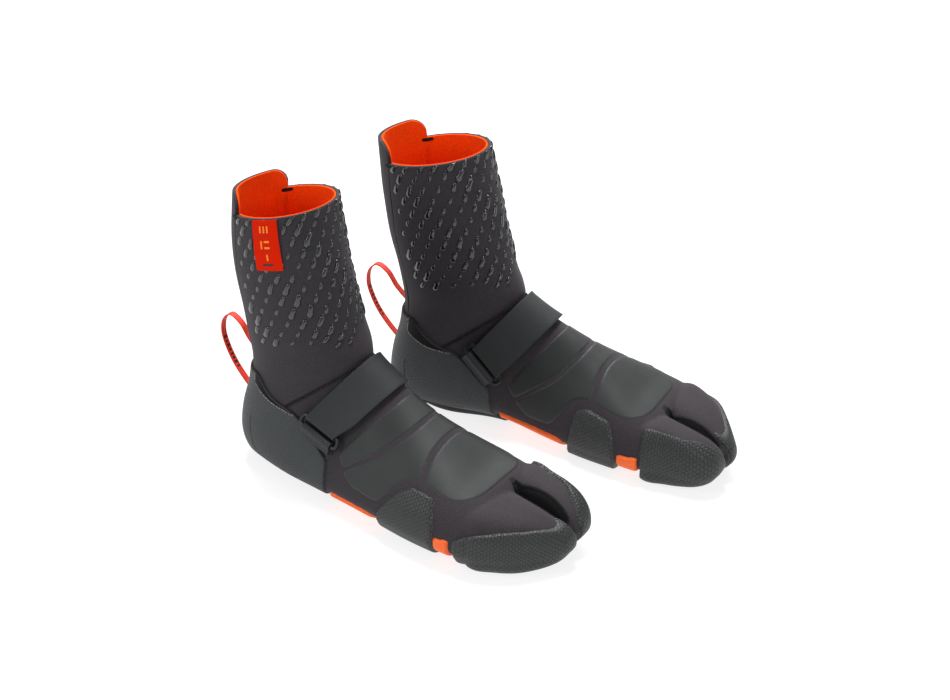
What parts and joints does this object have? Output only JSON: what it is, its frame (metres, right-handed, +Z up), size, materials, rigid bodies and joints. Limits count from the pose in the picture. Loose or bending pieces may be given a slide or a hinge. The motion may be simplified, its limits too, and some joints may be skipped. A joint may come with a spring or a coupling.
{
  "type": "neoprene_boots",
  "caption": "Pair of split-toe neoprene water sports boots with tall shafts, instep straps through rings, heel pull loops, heel cups and rubber toe caps.",
  "frame": {"origin": "Centre of the pair's outer box in X and Y, on the floor both soles stand on", "axes": "+Z up, toes toward -Y, the left boot on the +X side; metres"},
  "size_m": [0.2622, 0.3374, 0.213],
  "materials": {
    "neoprene": "soft jersey-faced neoprene, dark purple grey",
    "plush": "fleece-like plush lining, orange red",
    "cup_fabric": "rubberised fabric with fine diagonal ribs",
    "print": "smooth matt rubber print",
    "orange_foam": "foam rubber, orange",
    "rubber": "moulded rubber with a fine hexagon grain",
    "dark_foam": "open foam, dark grey",
    "ring_plastic": "injection moulded, satin",
    "black_web": "woven webbing, black",
    "webbing": "rubber textured strap webbing",
    "red_tape": "thin woven tape, red",
    "orange_tape": "smooth woven label tape, red orange",
    "thread": "dense black stitching"
  },
  "bodies": {
    "boots": {"right_foot_shell": "neoprene", "right_foot_lining": "plush", "right_shaft_front_panel": "neoprene", "right_shaft_back_panel": "neoprene", "right_shaft_lining": "plush", "right_heel_cup": "cup_fabric", "right_instep_panel_rear": "print", "right_instep_panel_middle": "print", "right_instep_panel_front": "print", "right_midsole": "orange_foam", "right_heel_outsole": "rubber", "right_forefoot_outsole": "rubber", "right_toe_cap": "rubber", "right_big_toe_cap": "rubber", "right_insole": "dark_foam", "right_ring_medial": "ring_plastic", "right_web_loop_lateral": "black_web", "right_web_loop_medial": "black_web", "right_strap": "webbing", "right_collar_bartack_lateral": "thread", "right_collar_bartack_medial": "thread", "left_foot_shell": "neoprene", "left_foot_lining": "plush", "left_shaft_front_panel": "neoprene", "left_shaft_back_panel": "neoprene", "left_shaft_lining": "plush", "left_heel_cup": "cup_fabric", "left_instep_panel_rear": "print", "left_instep_panel_middle": "print", "left_instep_panel_front": "print", "left_midsole": "orange_foam", "left_heel_outsole": "rubber", "left_forefoot_outsole": "rubber", "left_toe_cap": "rubber", "left_big_toe_cap": "rubber", "left_insole": "dark_foam", "left_ring_lateral": "ring_plastic", "left_web_loop_lateral": "black_web", "left_web_loop_medial": "black_web", "left_strap": "webbing", "left_collar_bartack_lateral": "thread", "left_collar_bartack_medial": "thread"},
    "right_strap_ring": {"right_ring_lateral": "ring_plastic"},
    "right_strap_end": {"right_strap_flap": "webbing"},
    "right_heel_loop": {"right_pull_loop": "red_tape"},
    "left_strap_ring": {"left_ring_medial": "ring_plastic"},
    "left_strap_end": {"left_strap_flap": "webbing"},
    "left_heel_loop": {"left_pull_loop": "red_tape"},
    "right_label": {"right_collar_label": "orange_tape"}
  },
  "joints": [
    {"name": "right_ring_lift", "type": "hinge", "parent": "boots", "child": "right_strap_ring", "pos_m": [-0.1159, 0.05295, 0.05458], "axis": [-0.1092, -0.9631, -0.246], "range_deg": [0, 35]},
    {"name": "right_strap_peel", "type": "hinge", "parent": "right_strap_ring", "child": "right_strap_end", "pos_m": [-0.11279, 0.05083, 0.06152], "axis": [-0.1092, -0.9631, -0.246], "range_deg": [0, 120]},
    {"name": "right_pull_loop_swing", "type": "hinge", "parent": "boots", "child": "right_heel_loop", "pos_m": [-0.07954, 0.13937, 0.06125], "axis": [0.0059, -0.2096, 0.9778], "range_deg": [-45, 45]},
    {"name": "left_ring_lift", "type": "hinge", "parent": "boots", "child": "left_strap_ring", "pos_m": [0.02728, 0.01519, 0.0557], "axis": [0.0966, -0.7311, -0.6753], "range_deg": [0, 35]},
    {"name": "left_strap_peel", "type": "hinge", "parent": "left_strap_ring", "child": "left_strap_end", "pos_m": [0.02991, 0.01033, 0.06134], "axis": [0.0966, -0.7311, -0.6753], "range_deg": [0, 120]},
    {"name": "left_pull_loop_swing", "type": "hinge", "parent": "boots", "child": "left_heel_loop", "pos_m": [0.04809, 0.10238, 0.06125], "axis": [0.0274, -0.2079, 0.9778], "range_deg": [-45, 45]},
    {"name": "right_label_lift", "type": "hinge", "parent": "boots", "child": "right_label", "pos_m": [-0.1122, 0.0973, 0.20565], "axis": [-0.2187, 0.9493, -0.2258], "range_deg": [0, 90]}
  ]
}
